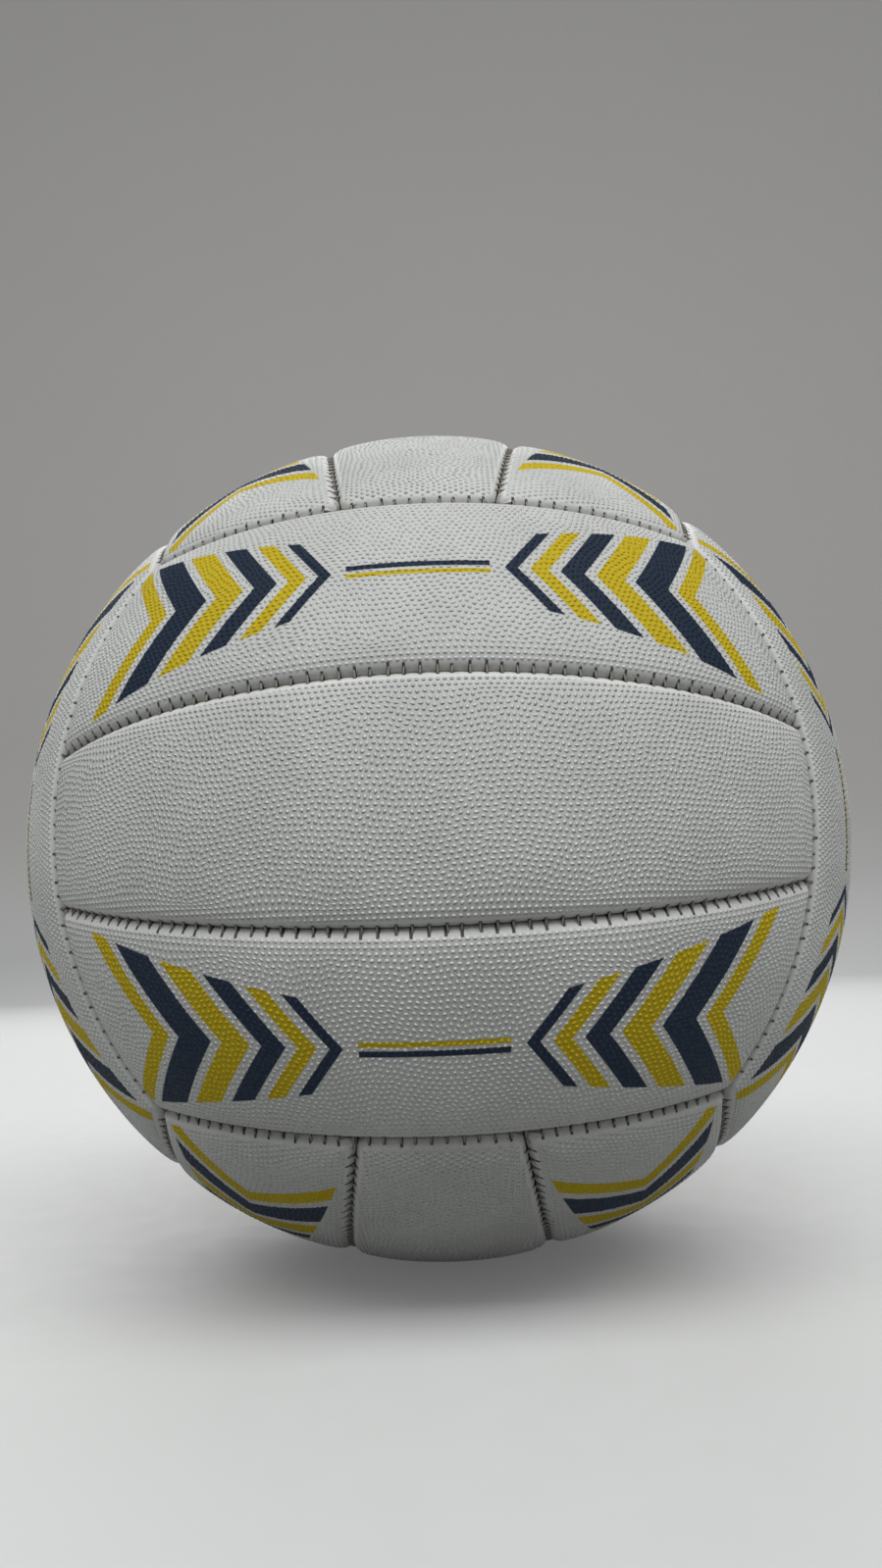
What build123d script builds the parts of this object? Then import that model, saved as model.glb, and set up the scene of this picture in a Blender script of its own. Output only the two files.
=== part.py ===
"""A stitched netball of eighteen panels over a bladder with a needle valve.

The ball's centre is the origin. Six groups of three strips face -Y, +Y, -Z, +Z, -X and +X, and the
strips of neighbouring groups run square to each other. Every seam is a circle on the ball. Each panel
is a cover and a lining whose four edges are turned in, so that the walls of neighbouring panels stand
face to face and the stitches cross the rounded groove between them.
"""
import math
import os

from build123d import *

# Driving dimensions, in millimetres and degrees
ball_circumference = 700.0
middle_panel_width = 51.3
seam_lean = 11.4
cover_thickness = 1.4
glue_line = 0.1
lining_thickness = 0.7
fold_inner_radius = 0.4
corner_inner_radius = 1.2
turned_edge_depth = 6.0
seam_gap = 0.3
stitch_pitch = 3.3
stitch_length = 2.2
stitch_width = 0.7
stitch_thickness = 0.4
stitch_clearance = 0.1
stitch_end_margin = 4.5
bladder_wall = 0.8
bladder_clearance = 0.3
valve_flange_radius = 15.0
valve_flange_rim = 0.6
valve_flange_thickness = 1.5
valve_boss_radius = 5.0
valve_spigot_radius = 3.4
valve_tube_radius = 4.4
valve_tube_depth = 9.0
valve_recess = 0.4
valve_clearance = 0.2
plug_radius = 2.2
plug_head_radius = 2.8
plug_head_thickness = 1.2
plug_fit_clearance = 0.05
plug_tip_length = 3.0
plug_tip_radius = 1.2
needle_hole_radius = 1.0
needle_hole_depth = 13.0
needle_lead_in = 0.5
cutting_allowance = 1.0

# Sizes that follow from them
ball_radius = ball_circumference / (2 * math.pi)
lining_radius = ball_radius - cover_thickness - glue_line
casing_inner_radius = ball_radius - turned_edge_depth
bladder_radius = casing_inner_radius - bladder_clearance
cover_fold_radius = fold_inner_radius + lining_thickness + glue_line + cover_thickness
cover_corner_radius = corner_inner_radius + lining_thickness + glue_line + cover_thickness

# A seam circle is a line of latitude about an axis that leans seam_lean off its group's face
lean_sine = math.sin(math.radians(seam_lean))
lean_cosine = math.cos(math.radians(seam_lean))
cube_corner = 1 / math.sqrt(3)
border_latitude = math.degrees(math.asin(cube_corner * (lean_cosine - lean_sine)))
inner_latitude = math.degrees(middle_panel_width / 2 / ball_radius) - seam_lean

# The piece of a ball that each panel is cut from reaches this far round it, well past the panel's ends
segment_latitude = 75.0
segment_sweep = 120.0


def long_axis(side):
    """Axis of the seam circles on one long side of a group: side is 1 or -1."""
    return Vector(0, side * lean_cosine, -lean_sine)


def end_axis(side):
    """Axis of the seam circle across one end of a group: side is 1 or -1."""
    return Vector(-side * lean_sine, 0, lean_cosine)


# Each panel's four seams: an axis that points out of the panel, and the seam's latitude about it
end_seams = [(-end_axis(1), -border_latitude), (-end_axis(-1), -border_latitude)]
panel_seams = {
    "middle": [(long_axis(1), inner_latitude), (long_axis(-1), inner_latitude)] + end_seams,
    "outer": [(long_axis(1), border_latitude), (-long_axis(1), -inner_latitude)] + end_seams,
}


def panel_block(strip, skin_radius, floor_radius, inset, corner_radius, fold_radius):
    """Solid of one panel's outline between two spheres, with rounded corners and a rounded outer rim.

    strip is "middle" or "outer", and inset is how far each wall stands inside its seam. The walls
    point at the ball's centre.
    """
    with BuildPart() as segment:
        Sphere(
            skin_radius,
            -segment_latitude,
            segment_latitude,
            segment_sweep,
            rotation=(0, -90, -segment_sweep / 2),
            align=None,
        )
        for axis, latitude in panel_seams[strip]:
            height = skin_radius * math.sin(math.radians(latitude) - inset / ball_radius)
            split(bisect_by=Plane(origin=axis * height, z_dir=axis), keep=Keep.BOTTOM)
    with BuildPart() as block:
        thicken(segment.faces().filter_by(GeomType.SPHERE)[0], floor_radius - skin_radius)
        fillet(block.edges().sort_by(SortBy.LENGTH)[:4], corner_radius)
        skin_face = block.faces().filter_by(GeomType.SPHERE).sort_by(SortBy.AREA)[-1]
        fillet(skin_face.edges(), fold_radius)
    return block.part


def tray(strip, skin_radius, thickness, inset, corner_radius, fold_radius):
    """A panel's sheet with its four edges turned in, open towards the ball's centre."""
    block = panel_block(strip, skin_radius, casing_inner_radius, inset, corner_radius, fold_radius)
    hollow = panel_block(
        strip,
        skin_radius - thickness,
        casing_inner_radius - cutting_allowance,
        inset + thickness,
        corner_radius - thickness,
        fold_radius - thickness,
    )
    with BuildPart() as sheet:
        add(block)
        add(hollow, mode=Mode.SUBTRACT)
    return sheet.part


def seam_ends(latitude, is_border):
    """Half the angle that a seam turns through about its axis, from its middle to its end."""
    circle = math.cos(math.radians(latitude))
    if is_border:
        return math.asin(cube_corner / circle)
    height = math.sin(math.radians(border_latitude))
    height += lean_sine * lean_cosine * math.sin(math.radians(latitude))
    along = lean_cosine**2 * circle
    across = lean_sine * circle
    return math.acos(height / math.hypot(along, across)) - math.atan2(across, along)


def stitch_planes(side, latitude, is_border):
    """Planes of one seam's stitches: X along the seam, Z out of the ball, evenly spaced by the pitch."""
    reach = stitch_length / 2 - seam_gap / 2
    groove_depth = cover_fold_radius - math.sqrt(cover_fold_radius**2 - (cover_fold_radius - reach) ** 2)
    height = ball_radius - groove_depth + stitch_clearance
    circle_radius = ball_radius * math.cos(math.radians(latitude))
    half_turn = seam_ends(latitude, is_border)
    usable = 2 * (half_turn * circle_radius - stitch_end_margin)
    gaps = int(usable / stitch_pitch)
    axis = long_axis(side)
    across_axis = Vector(0, side * lean_sine, lean_cosine)
    rise = math.radians(latitude)
    planes = []
    for index in range(gaps + 1):
        turn = (index - gaps / 2) * stitch_pitch / circle_radius
        level = across_axis * math.cos(turn) + Vector(1, 0, 0) * math.sin(turn)
        outward = level * math.cos(rise) + axis * math.sin(rise)
        planes.append(Plane(origin=outward * height, x_dir=axis.cross(level), z_dir=outward))
    return planes


def group_stitches():
    """Stitches of one group: its two inner seams and the border seams along its two long sides."""
    planes = []
    for side in (1, -1):
        planes += stitch_planes(side, inner_latitude, False)
        planes += stitch_planes(side, border_latitude, True)
    with BuildPart() as stitches:
        with Locations(*planes):
            Box(
                stitch_width,
                stitch_length,
                stitch_thickness,
                align=(Align.CENTER, Align.CENTER, Align.MIN),
            )
    return stitches.part


# Sheets of one group, in the group's own frame: X along the strips, Y across them, Z out of the ball
cover_inset = seam_gap / 2
lining_inset = cover_inset + cover_thickness + glue_line
covers = {}
linings = {}
for strip in ("middle", "outer"):
    covers[strip] = tray(
        strip, ball_radius, cover_thickness, cover_inset, cover_corner_radius, cover_fold_radius
    )
    linings[strip] = tray(
        strip,
        lining_radius,
        lining_thickness,
        lining_inset,
        corner_inner_radius + lining_thickness,
        fold_inner_radius + lining_thickness,
    )
stitches_of_group = group_stitches()

# Each group: the way it faces, the way its strips run, and the names of its strips across it
panel_groups = {
    "front": ((0, -1, 0), (1, 0, 0), ("upper", "middle", "lower")),
    "back": ((0, 1, 0), (-1, 0, 0), ("upper", "middle", "lower")),
    "top": ((0, 0, 1), (0, -1, 0), ("right", "middle", "left")),
    "bottom": ((0, 0, -1), (0, 1, 0), ("right", "middle", "left")),
    "right": ((1, 0, 0), (0, 0, 1), ("front", "middle", "rear")),
    "left": ((-1, 0, 0), (0, 0, -1), ("front", "middle", "rear")),
}
group_planes = {}
for group, (outward, along, strip_names) in panel_groups.items():
    group_planes[group] = Plane(origin=(0, 0, 0), x_dir=along, z_dir=outward)
valve_group = "back"
valve_plane = group_planes[valve_group]

os.makedirs("parts", exist_ok=True)

for group, (outward, along, strip_names) in panel_groups.items():
    for strip_name, strip, turn in zip(strip_names, ("outer", "middle", "outer"), (0, 0, 180)):
        has_valve = group == valve_group and strip == "middle"

        with BuildPart(group_planes[group]) as cover:
            add(covers[strip], rotation=(0, 0, turn))
            if has_valve:
                Cylinder(
                    valve_spigot_radius + valve_clearance,
                    ball_radius + cutting_allowance,
                    align=(Align.CENTER, Align.CENTER, Align.MIN),
                    mode=Mode.SUBTRACT,
                )
        cover.part.label = f"{group}_{strip_name}_panel"
        export_step(cover.part, f"parts/{group}_{strip_name}_panel.step")

        with BuildPart(group_planes[group]) as lining:
            add(linings[strip], rotation=(0, 0, turn))
            if has_valve:
                Cylinder(
                    valve_boss_radius + valve_clearance,
                    ball_radius + cutting_allowance,
                    align=(Align.CENTER, Align.CENTER, Align.MIN),
                    mode=Mode.SUBTRACT,
                )
        lining.part.label = f"{group}_{strip_name}_lining"
        export_step(lining.part, f"parts/{group}_{strip_name}_lining.step")

    with BuildPart(group_planes[group]) as stitches:
        add(stitches_of_group)
    stitches.part.label = f"{group}_stitches"
    export_step(stitches.part, f"parts/{group}_stitches.step")

# Bladder: a thin rubber sphere with a hole for the valve's tube
with BuildPart(valve_plane) as bladder:
    Sphere(bladder_radius)
    Sphere(bladder_radius - bladder_wall, mode=Mode.SUBTRACT)
    Cylinder(
        valve_tube_radius + valve_clearance,
        ball_radius,
        align=(Align.CENTER, Align.CENTER, Align.MIN),
        mode=Mode.SUBTRACT,
    )
bladder.part.label = "bladder"
export_step(bladder.part, "parts/bladder.step")

# Valve seat: a flange bonded on the bladder, a boss up to the cover and a spigot through the cover's hole
flange_radius_below = bladder_radius + glue_line
flange_foot = math.sqrt(flange_radius_below**2 - valve_flange_radius**2)
tube_top = math.sqrt(flange_radius_below**2 - valve_tube_radius**2)
tube_bottom = bladder_radius - bladder_wall - valve_tube_depth
flange_top = flange_radius_below + valve_flange_thickness
boss_top = math.sqrt((ball_radius - cover_thickness) ** 2 - valve_boss_radius**2) - glue_line
spigot_top = ball_radius - valve_recess
plug_bore_radius = plug_radius + plug_fit_clearance
head_bore_radius = plug_head_radius + plug_fit_clearance
head_bottom = spigot_top - plug_head_thickness
with BuildPart(valve_plane) as valve_seat:
    with BuildSketch(Plane(valve_plane.origin, x_dir=valve_plane.x_dir, z_dir=-valve_plane.y_dir)):
        with BuildLine():
            Polyline(
                (valve_tube_radius, tube_top),
                (valve_tube_radius, tube_bottom),
                (plug_bore_radius, tube_bottom),
                (plug_bore_radius, head_bottom),
                (head_bore_radius, head_bottom),
                (head_bore_radius, spigot_top),
                (valve_spigot_radius, spigot_top),
                (valve_spigot_radius, boss_top),
                (valve_boss_radius, boss_top),
                (valve_boss_radius, flange_top),
                (valve_flange_radius, flange_foot + valve_flange_rim),
                (valve_flange_radius, flange_foot),
            )
            RadiusArc(
                (valve_flange_radius, flange_foot), (valve_tube_radius, tube_top), -flange_radius_below
            )
        make_face()
    revolve(axis=Axis(valve_plane.origin, valve_plane.z_dir))
valve_seat.part.label = "valve_seat"
export_step(valve_seat.part, "parts/valve_seat.step")

# Valve plug: a headed rubber plug with a blind needle hole and a tapered tip
plug_end = spigot_top - needle_hole_depth - plug_tip_length
with BuildPart(valve_plane) as valve_plug:
    with BuildSketch(Plane(valve_plane.origin, x_dir=valve_plane.x_dir, z_dir=-valve_plane.y_dir)):
        with BuildLine():
            Polyline(
                (0, plug_end),
                (plug_tip_radius, plug_end),
                (plug_radius, plug_end + plug_tip_length),
                (plug_radius, head_bottom),
                (plug_head_radius, head_bottom),
                (plug_head_radius, spigot_top),
                (needle_hole_radius + needle_lead_in, spigot_top),
                (needle_hole_radius, spigot_top - needle_lead_in),
                (needle_hole_radius, spigot_top - needle_hole_depth),
                (0, spigot_top - needle_hole_depth),
                close=True,
            )
        make_face()
    revolve(axis=Axis(valve_plane.origin, valve_plane.z_dir))
valve_plug.part.label = "valve_plug"
export_step(valve_plug.part, "parts/valve_plug.step")
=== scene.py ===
"""Looks of a stitched netball, built around its solid model.

Eighteen pebbled panels, their stitching and a rubber valve are worked out as surfaces on the ball, in
the groups and on the seam circles that the solid model has. Lengths are in metres, and the attributes
that the materials read are in millimetres, in pimple pitches or in stitch pitches.
"""

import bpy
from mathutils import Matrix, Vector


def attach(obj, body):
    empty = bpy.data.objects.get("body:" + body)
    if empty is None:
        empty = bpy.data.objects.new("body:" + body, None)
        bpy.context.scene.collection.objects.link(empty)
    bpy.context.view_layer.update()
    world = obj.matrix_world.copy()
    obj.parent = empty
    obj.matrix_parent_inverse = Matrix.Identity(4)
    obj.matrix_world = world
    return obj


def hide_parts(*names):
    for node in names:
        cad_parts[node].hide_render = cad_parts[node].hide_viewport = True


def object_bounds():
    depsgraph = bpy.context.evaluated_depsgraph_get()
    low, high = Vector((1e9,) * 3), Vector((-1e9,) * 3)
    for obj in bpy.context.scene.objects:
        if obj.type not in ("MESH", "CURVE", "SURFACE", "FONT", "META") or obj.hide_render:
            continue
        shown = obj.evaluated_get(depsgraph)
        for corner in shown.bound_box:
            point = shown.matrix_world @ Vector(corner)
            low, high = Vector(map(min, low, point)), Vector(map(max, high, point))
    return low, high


bl_info = {
    "name": "Stitched netball",
    "version": (1, 0, 0),
    "blender": (4, 5, 0),
    "location": "3D View > Sidebar > Netball",
    "description": "Builds a stitched netball of eighteen panels around its solid model",
    "category": "Add Mesh",
}

import math

import bpy
import numpy as np
from bpy.props import FloatProperty, FloatVectorProperty, PointerProperty
from mathutils import Quaternion, Vector

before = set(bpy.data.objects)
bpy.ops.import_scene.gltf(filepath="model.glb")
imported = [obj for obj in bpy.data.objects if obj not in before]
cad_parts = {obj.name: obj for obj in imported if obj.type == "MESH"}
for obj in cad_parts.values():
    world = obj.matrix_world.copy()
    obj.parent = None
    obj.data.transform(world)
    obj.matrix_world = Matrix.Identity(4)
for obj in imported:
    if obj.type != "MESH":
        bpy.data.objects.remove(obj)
CAD_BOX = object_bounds()
BODY = "root"
PER_MILLIMETRE = 1000.0
WELD_DISTANCE = 1e-7

# Each group of three strips: the way it faces, the way its strips run, and the strips' names across it
PANEL_GROUPS = {
    "front": ((0, -1, 0), (1, 0, 0), ("upper", "middle", "lower")),
    "back": ((0, 1, 0), (-1, 0, 0), ("upper", "middle", "lower")),
    "top": ((0, 0, 1), (0, -1, 0), ("right", "middle", "left")),
    "bottom": ((0, 0, -1), (0, 1, 0), ("right", "middle", "left")),
    "right": ((1, 0, 0), (0, 0, 1), ("front", "middle", "rear")),
    "left": ((-1, 0, 0), (0, 0, -1), ("front", "middle", "rear")),
}
VALVE_PANEL = "back_middle_panel"


def length(name, description, default):
    """A length property in metres."""
    return FloatProperty(name=name, description=description, default=default, unit="LENGTH", precision=5)


def angle(name, description, default):
    """An angle property, given in degrees."""
    default = math.radians(default)
    return FloatProperty(name=name, description=description, default=default, subtype="ANGLE")


def colour(name, description, default):
    """A colour property, in linear light."""
    return FloatVectorProperty(
        name=name, description=description, default=default, subtype="COLOR", min=0, max=1
    )


def location(name, description, default):
    """A point property in metres."""
    return FloatVectorProperty(
        name=name, description=description, default=default, subtype="XYZ_LENGTH", unit="LENGTH"
    )


def power(name, description, default):
    """A lamp's power property in watts."""
    return FloatProperty(name=name, description=description, default=default, unit="POWER")


class NetballShape(bpy.types.PropertyGroup):
    """Sizes of the ball, its panels and its stitches"""

    ball_radius: length("Ball radius", "From the centre to the cover", (CAD_BOX[1].z - CAD_BOX[0].z) / 2)
    middle_width: length("Middle panel width", "Across a middle panel at its centre", 0.0513)
    seam_lean: angle("Seam lean", "Lean of the seam circles' axes off the faces", 11.4)
    seam_gap: length("Seam gap", "Between the walls of two panels", 0.0003)
    fold_reach: length("Fold reach", "Width of a panel's turned-down edge", 0.0013)
    fold_bend: length("Fold bend", "Roundness of the bend where the edge turns down", 0.0011)
    middle_tuck: length("Middle tuck", "How much a middle panel's fold is cut short", 0.0004)
    corner_radius: length("Corner radius", "Roundness of a panel's corners", 0.0028)
    edge_depth: length("Edge depth", "How deep the turned edges reach", 0.006)
    cover_thickness: length("Cover thickness", "Thickness of a panel's sheet", 0.0014)
    crown_drop: length("Crown drop", "How far a panel falls off towards its seams", 0.0007)
    crown_reach: length("Crown reach", "Distance over which a panel falls off", 0.004)
    pimple_pitch: length("Pimple pitch", "Between neighbouring pimples", 0.00142)
    pimple_height: length("Pimple height", "How far a pimple stands up", 0.00016)
    pimple_wander: length("Pimple wander", "How far the rows of pimples stray", 0.003)
    pimple_ruffle: length("Pimple ruffle", "How far a pimple strays from its row", 0.0007)
    pucker: length("Pucker", "How far a stitch pulls the edge in", 0.0002)
    stitch_pitch: length("Stitch pitch", "Between neighbouring stitches", 0.0033)
    stitch_reach: length("Stitch reach", "From the seam to a stitch's end", 0.0014)
    outer_reach: length("Outer reach", "From an inner seam into an outer panel", 0.0017)
    middle_reach: length("Middle reach", "From an inner seam into a middle panel", 0.0007)
    stitch_margin: length("Stitch margin", "From a seam's end to its first stitch", 0.0045)
    thread_radius: length("Thread radius", "Half the thread's thickness", 0.00022)
    valve_hole: length("Valve hole", "Radius of the hole in the back panel", 0.0036)


class NetballColours(bpy.types.PropertyGroup):
    """Colours of the ball's materials and of the stage"""

    cover: colour("Cover", "Pale leather of the panels", (0.64, 0.655, 0.64))
    print_dark: colour("Dark print", "Dark bars of the print", (0.01, 0.022, 0.046))
    print_bright: colour("Bright print", "Bright bars of the print", (0.6, 0.455, 0.01))
    # This colour is grime on the thread, grime with painted shade in the seam grooves, and painted shade in
    # the stitch slits
    grime_and_shade: colour("Grime", "What gathers in the grooves", (0.18, 0.158, 0.12))
    thread: colour("Thread", "Waxed thread of the stitches", (0.3, 0.285, 0.25))
    lining: colour("Lining", "Cloth behind the panels", (0.52, 0.5, 0.45))
    bladder: colour("Bladder", "Rubber of the bladder", (0.018, 0.017, 0.016))
    valve: colour("Valve", "Rubber of the valve", (0.045, 0.045, 0.048))
    floor: colour("Floor", "Pale floor", (0.56, 0.57, 0.56))
    backdrop: colour("Backdrop", "Wall behind the ball", (0.4, 0.39, 0.37))


class NetballStage(bpy.types.PropertyGroup):
    """The camera and the light"""

    camera_place: location("Camera", "Where the camera stands", (0.0077, -0.3246, -0.0262))
    camera_aim: location("Aim", "Where the camera looks", (0.0012, -0.0029, 0.0162))
    camera_roll: angle("Roll", "Turn of the camera about its view", -2.14)
    camera_lens: FloatProperty(
        name="Lens", description="Focal length in millimetres", default=25.96, subtype="DISTANCE_CAMERA"
    )
    key_place: location("Key light", "Where the lamp over the camera hangs", (0.1, -0.75, 1.2))
    key_aim: location("Key aim", "Where the lamp over the camera shines", (0.0, 0.5, 0.0))
    key_power: power("Key power", "Power of the lamp over the camera", 25.2)
    rear_place: location("Rear light", "Where the lamp behind the ball hangs", (-0.15, 1.15, 0.8))
    rear_aim: location("Rear aim", "Where the lamp behind the ball shines", (0.0, 0.0, 0.0))
    rear_power: power("Rear power", "Power of the lamp behind the ball", 12.0)
    sky_strength: FloatProperty(name="Sky", description="Strength of the light all round", default=0.275)


def smooth_step(value, low, high):
    """0 below low, 1 above high and an S curve between them."""
    share = np.clip((value - low) / (high - low), 0, 1)
    return share * share * (3 - 2 * share)


def unit(values):
    """Directions of an array of vectors."""
    return values / np.linalg.norm(values, axis=-1, keepdims=True)


# Stitches stray along a seam by a share of their pitch, and in length by a share of their reach
UNEVEN_RATE = 2.4
UNEVEN_SHIFT = 0.07
UNEVEN_REACH = 0.2


class Seam:
    """One seam circle: a line of latitude about an axis, on which the stitches are evenly spaced.

    level is the direction of the seam's middle and along the way it runs there, both square to the
    axis. side is 1 where the panel lies below the circle and -1 where it lies above it. reaches are how
    far its stitches go below the circle and above it.
    """

    def __init__(self, shape, axis, latitude, level, along, half_turn, side, reaches):
        self.axis, self.level, self.along = np.array(axis), np.array(level), np.array(along)
        self.latitude, self.side, self.shape, self.reaches = latitude, side, shape, reaches
        self.circle = shape.ball_radius * math.cos(latitude)
        usable = 2 * (half_turn * self.circle - shape.stitch_margin)
        self.gaps = int(usable / shape.stitch_pitch)

    def distance(self, point):
        """How far inside the panel's wall a direction lies, along the ball."""
        rise = np.arcsin(np.clip(point @ self.axis, -1, 1))
        return self.side * self.shape.ball_radius * (self.latitude - rise) - self.shape.seam_gap / 2

    def phase(self, point):
        """Place along the seam in stitch pitches, whole at each stitch, from 0 to the number of gaps."""
        turn = np.arctan2(point @ self.along, point @ self.level)
        return turn * self.circle / self.shape.stitch_pitch + self.gaps / 2

    def unevenness(self, number):
        """A value from -1 to 1 for each stitch: the sine of its squared number times a rate."""
        return np.sin(UNEVEN_RATE * number**2)

    def panel_reach(self):
        """How far the stitches go into this panel."""
        return self.reaches[0 if self.side > 0 else 1]

    def stitch_frames(self):
        """For each stitch: directions out of the ball, along the seam and across it, and its reaches."""
        numbers = np.arange(self.gaps + 1)
        uneven = self.unevenness(numbers)
        steps = numbers + UNEVEN_SHIFT * uneven - self.gaps / 2
        turn = (steps * self.shape.stitch_pitch / self.circle)[:, None]
        level = np.cos(turn) * self.level + np.sin(turn) * self.along
        along = np.cos(turn) * self.along - np.sin(turn) * self.level
        outward = math.cos(self.latitude) * level + math.sin(self.latitude) * self.axis
        across = math.cos(self.latitude) * self.axis - math.sin(self.latitude) * level
        return outward, along, across, np.outer(1 + UNEVEN_REACH * uneven, self.reaches)


class SeamPlan:
    """The seam circles of one group of strips: X along the strips, Y across them, Z out of the ball."""

    def __init__(self, shape):
        self.shape = shape
        self.lean = shape.seam_lean
        self.sine, self.cosine = math.sin(self.lean), math.cos(self.lean)
        cube_corner = 1 / math.sqrt(3)
        self.border = math.asin(cube_corner * (self.cosine - self.sine))
        self.border_half_turn = math.asin(cube_corner / math.cos(self.border))
        self.inner = shape.middle_width / 2 / shape.ball_radius - self.lean
        self.border_reaches = (shape.stitch_reach, shape.stitch_reach)

    def long_seam(self, way, side, latitude, half_turn, reaches):
        """Seam at a latitude about the axis that leans to the +Y or -Y side."""
        axis, level = (0, way * self.cosine, -self.sine), (0, way * self.sine, self.cosine)
        return Seam(self.shape, axis, latitude, level, (1, 0, 0), half_turn, side, reaches)

    def inner_seam(self, way, side):
        """Seam between the middle strip and the outer strip on the +Y or -Y side."""
        half_turn = float(OuterStrip(self).end(np.array(self.inner))[0])
        reaches = (self.shape.middle_reach, self.shape.outer_reach)
        return self.long_seam(way, side, self.inner, half_turn, reaches)

    def border_seam(self, way, side):
        """Seam along the group's border on the +Y or -Y side."""
        return self.long_seam(way, side, self.border, self.border_half_turn, self.border_reaches)

    def end_seam(self, way):
        """Seam across the strips' ends on the +X or -X side, where the next group's border runs."""
        axis, level = (-way * self.sine, 0, self.cosine), (way * self.cosine, 0, self.sine)
        return Seam(
            self.shape, axis, self.border, level, (0, 1, 0), self.border_half_turn, -1, self.border_reaches
        )


class OuterStrip:
    """A strip between an inner seam and the border, in latitude and turn about their common axis."""

    def __init__(self, plan):
        self.plan = plan
        self.middle = (plan.inner + plan.border) / 2
        self.tuck = 0.0

    def seams(self):
        """The seams along the two long edges."""
        return self.plan.inner_seam(1, -1), self.plan.border_seam(1, 1)

    def point(self, latitude, turn):
        """cos(latitude) * (cos(turn) * level + sin(turn) * X) + sin(latitude) * axis."""
        axis = np.array((0, self.plan.cosine, -self.plan.sine))
        level = np.array((0, self.plan.sine, self.plan.cosine))
        around = np.cos(turn)[..., None] * level + np.sin(turn)[..., None] * np.array((1, 0, 0))
        return np.cos(latitude)[..., None] * around + np.sin(latitude)[..., None] * axis

    def edges(self, turn):
        """Latitudes of the long edges, and how fast the way to them grows with latitude."""
        flat = np.ones_like(turn)
        return self.plan.inner * flat, self.plan.border * flat, flat

    def end(self, latitude):
        """Turn at which the end seam is met, and how fast the way to it grows with the turn.

        The end seam is where a point's share along the end axis is the sine of the border's latitude:
        a * cos(turn) - b * sin(turn) = c, so turn = acos(c / hypot(a, b)) - atan2(b, a).
        """
        plan = self.plan
        a, b = plan.cosine**2 * np.cos(latitude), plan.sine * np.cos(latitude)
        c = math.sin(plan.border) + plan.sine * plan.cosine * np.sin(latitude)
        turn = np.arccos(c / np.hypot(a, b)) - np.arctan2(b, a)
        return turn, (a * np.sin(turn) + b * np.cos(turn)) / math.cos(plan.border)


class MiddleStrip:
    """The strip between a group's two inner seams, in latitude off its middle line and turn along it."""

    def __init__(self, plan):
        self.plan = plan
        self.middle = 0.0
        self.tuck = plan.shape.middle_tuck

    def seams(self):
        """The seams along the two long edges."""
        return self.plan.inner_seam(-1, 1), self.plan.inner_seam(1, 1)

    def point(self, latitude, turn):
        """(cos(latitude) * sin(turn), sin(latitude), cos(latitude) * cos(turn))."""
        flat = np.cos(latitude)
        return np.stack((flat * np.sin(turn), np.sin(latitude), flat * np.cos(turn)), axis=-1)

    def edges(self, turn):
        """Latitudes of the long edges, and how fast the way to them grows with latitude.

        On the upper one sin(latitude) * cos(lean) - cos(latitude) * cos(turn) * sin(lean) is the sine
        of the inner seam's latitude.
        """
        plan = self.plan
        lowered = plan.sine * np.cos(turn)
        high = np.arcsin(math.sin(plan.inner) / np.hypot(plan.cosine, lowered))
        high = high + np.arctan2(lowered, plan.cosine)
        rate = (np.cos(high) * plan.cosine + np.sin(high) * lowered) / math.cos(plan.inner)
        return -high, high, rate

    def end(self, latitude):
        """Turn at which the end seam is met, and how fast the way to it grows with the turn.

        There cos(latitude) * cos(turn + lean) is the sine of the border's latitude.
        """
        plan = self.plan
        turn = np.arccos(math.sin(plan.border) / np.cos(latitude)) - plan.lean
        return turn, np.cos(latitude) * np.sin(turn + plan.lean) / math.cos(plan.border)


# Shortest and longest waves by which the rows of pimples, and single pimples, stray, and how many waves
# are added up
ROW_WAVES = (0.016, 0.036)
PIMPLE_WAVES = (0.003, 0.006)
WAVE_COUNT = 6


def swirl(x, y, wave_lengths, seed):
    """Shifts along x and y, between -1 and 1, that keep areas as they are.

    Each is a sum of sine waves of random lengths and directions, with the shift square to the way the
    wave travels.
    """
    draw = np.random.default_rng(seed)
    east, north = np.zeros_like(x), np.zeros_like(y)
    for wave in range(WAVE_COUNT):
        heading, start = draw.uniform(0, 2 * math.pi, 2)
        turns = (x * math.cos(heading) + y * math.sin(heading)) / draw.uniform(*wave_lengths)
        swing = np.sin(2 * math.pi * turns + start) / WAVE_COUNT
        east += swing * math.sin(heading)
        north -= swing * math.cos(heading)
    return np.stack((east, north))


# Fall of a turned edge past its bend, in depth for each length along the ball
FOLD_SLOPE = 1.15


def fold_depth(shape, distance):
    """Depth of the turned edge at a distance inside the panel's outline.

    It falls at a steady slope from the bend to the seam. With s the way past the bend, the rounded hinge
    is half of s plus the root of s squared and the bend squared.
    """
    past = shape.fold_reach - distance
    return FOLD_SLOPE * (past + np.sqrt(past**2 + shape.fold_bend**2)) / 2


# The three cosines of the pimples' lattice add up to between -1.5 and 3
LATTICE_LIFT = 1.5
LATTICE_SPAN = 4.5


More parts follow.
